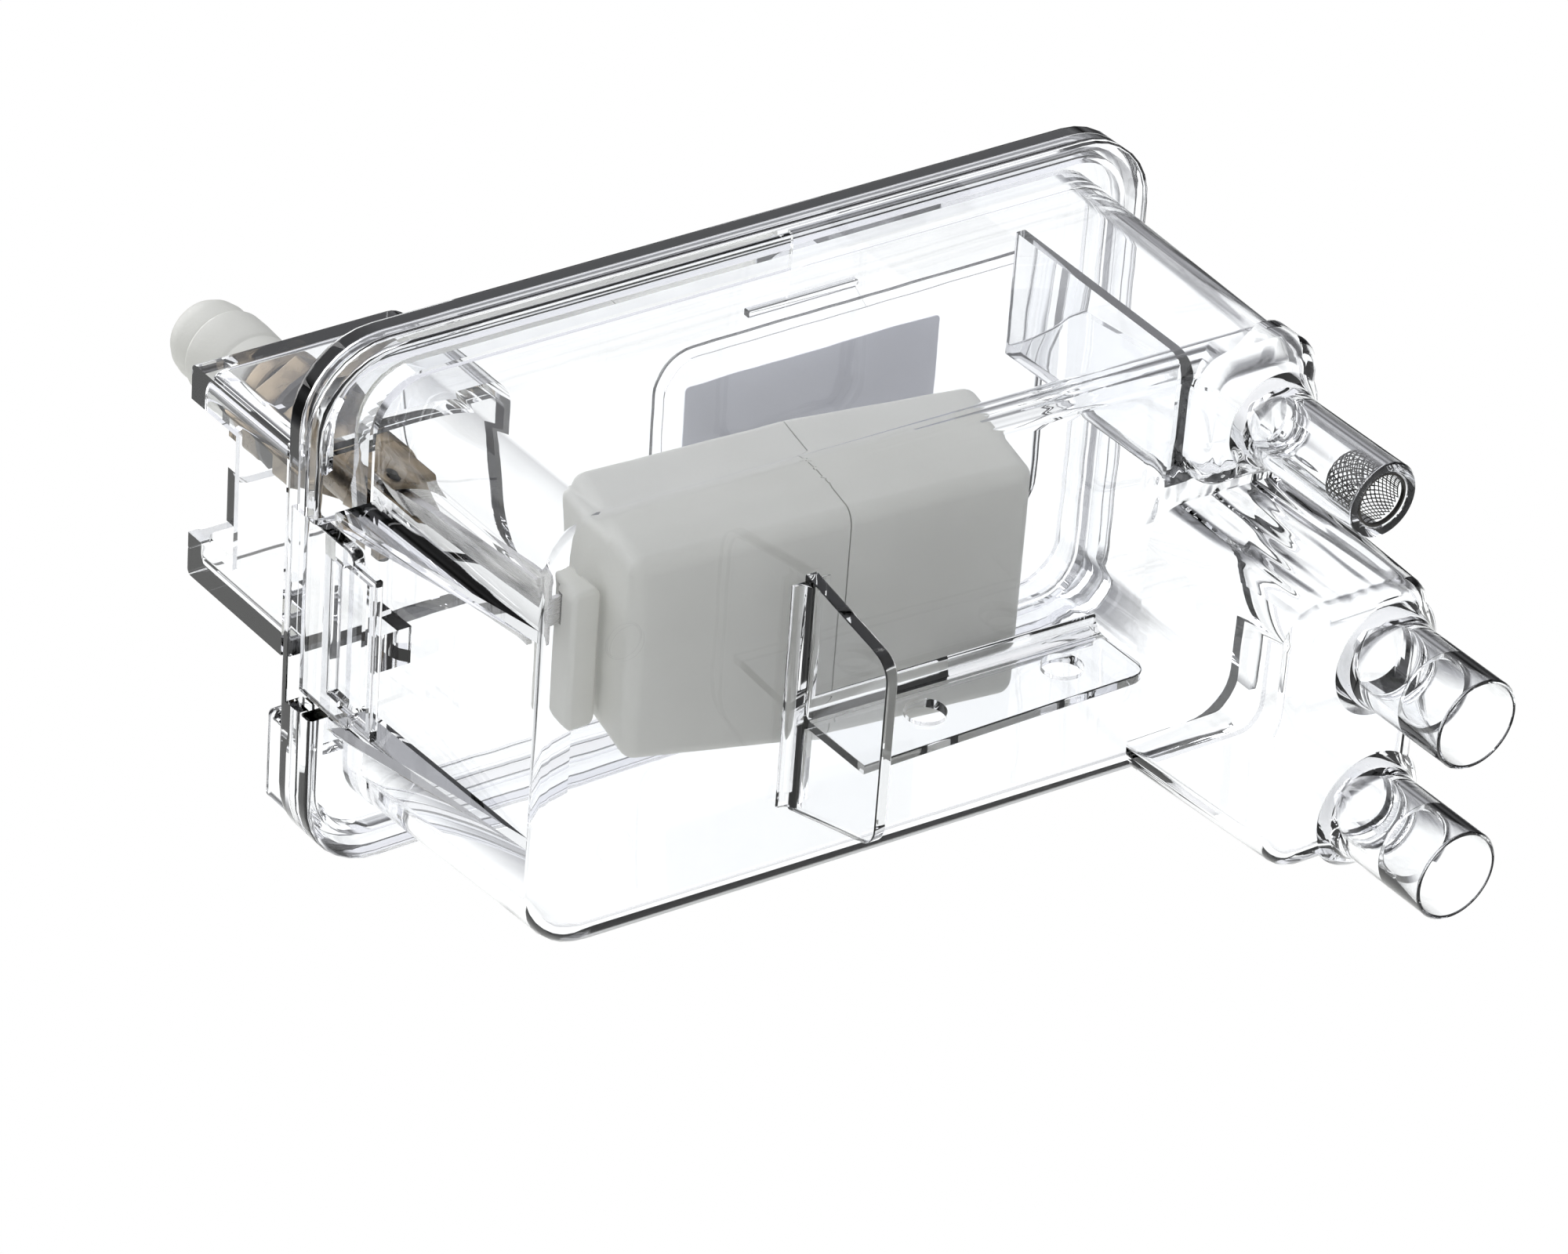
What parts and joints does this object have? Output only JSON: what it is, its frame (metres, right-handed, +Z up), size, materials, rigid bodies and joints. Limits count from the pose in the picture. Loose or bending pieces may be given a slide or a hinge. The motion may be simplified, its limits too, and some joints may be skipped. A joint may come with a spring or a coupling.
{
  "type": "float-valve water reservoir",
  "caption": "Clear box reservoir with a lid, a float valve in a lid tower, a deep sump, an overflow chamber, hose stubs below and a two-hole bracket.",
  "frame": {"origin": "on the bracket's front face, midway between its two holes", "axes": "+Z up as the tank works, lid on top; +X from the valve end to the sump end; -Y out of the bracket's face"},
  "size_m": [0.193, 0.1124, 0.2202],
  "materials": {
    "clear_plastic": "clear, polished",
    "stainless": "bright strip",
    "brass": "turned",
    "float_plastic": "fine satin",
    "cap_plastic": "satin",
    "black_rubber": "moulded",
    "label_film": "printed film, left blank"
  },
  "bodies": {
    "reservoir": {"reservoir_tub": "clear_plastic", "overflow_weir": "clear_plastic", "sump_well": "clear_plastic", "overflow_stub": "clear_plastic", "supply_stub": "clear_plastic", "drain_stub": "clear_plastic", "mounting_bracket": "clear_plastic"},
    "strainer": {"strainer_cup": "stainless"},
    "lid_assembly": {"lid": "clear_plastic", "valve_tower": "clear_plastic", "lid_label": "label_film", "valve_body": "brass", "valve_washer": "black_rubber", "valve_lock_nut": "brass", "inlet_collar": "brass", "inlet_screen": "stainless", "valve_seat": "brass", "hinge_pin": "stainless"},
    "latch": {"lid_latch": "clear_plastic"},
    "plunger": {"valve_plunger": "brass", "plunger_seal": "black_rubber"},
    "float": {"float_arm": "stainless", "float_inner_half": "float_plastic", "float_outer_half": "float_plastic", "float_clip": "float_plastic"},
    "cap": {"inlet_cap": "cap_plastic"}
  },
  "joints": [
    {"name": "lid_lift", "type": "slide", "parent": "reservoir", "child": "lid_assembly", "axis": [0, 0, 1], "range_m": [0, 0.07]},
    {"name": "latch_flex", "type": "hinge", "parent": "lid_assembly", "child": "latch", "pos_m": [-0.10325, -0.0085, 0.0765], "axis": [0, 1, 0], "range_deg": [0, 9], "stiffness_Nm_per_rad": 0.2},
    {"name": "float_swing", "type": "hinge", "parent": "lid_assembly", "child": "float", "pos_m": [-0.084, -0.02, 0.0795], "axis": [0, 1, 0], "range_deg": [-15, 0]},
    {"name": "plunger_slide", "type": "slide", "parent": "lid_assembly", "child": "plunger", "axis": [0, 0, 1], "range_m": [0, 0.0014]},
    {"name": "cap_pull", "type": "slide", "parent": "lid_assembly", "child": "cap", "axis": [0, 0, 1], "range_m": [0, 0.03]},
    {"name": "strainer_pull", "type": "slide", "parent": "reservoir", "child": "strainer", "axis": [0, 0, -1], "range_m": [0, 0.025]}
  ],
  "couplings": [
    {"joint": "plunger_slide", "follows": "float_swing", "m_per_rad": -0.005}
  ]
}
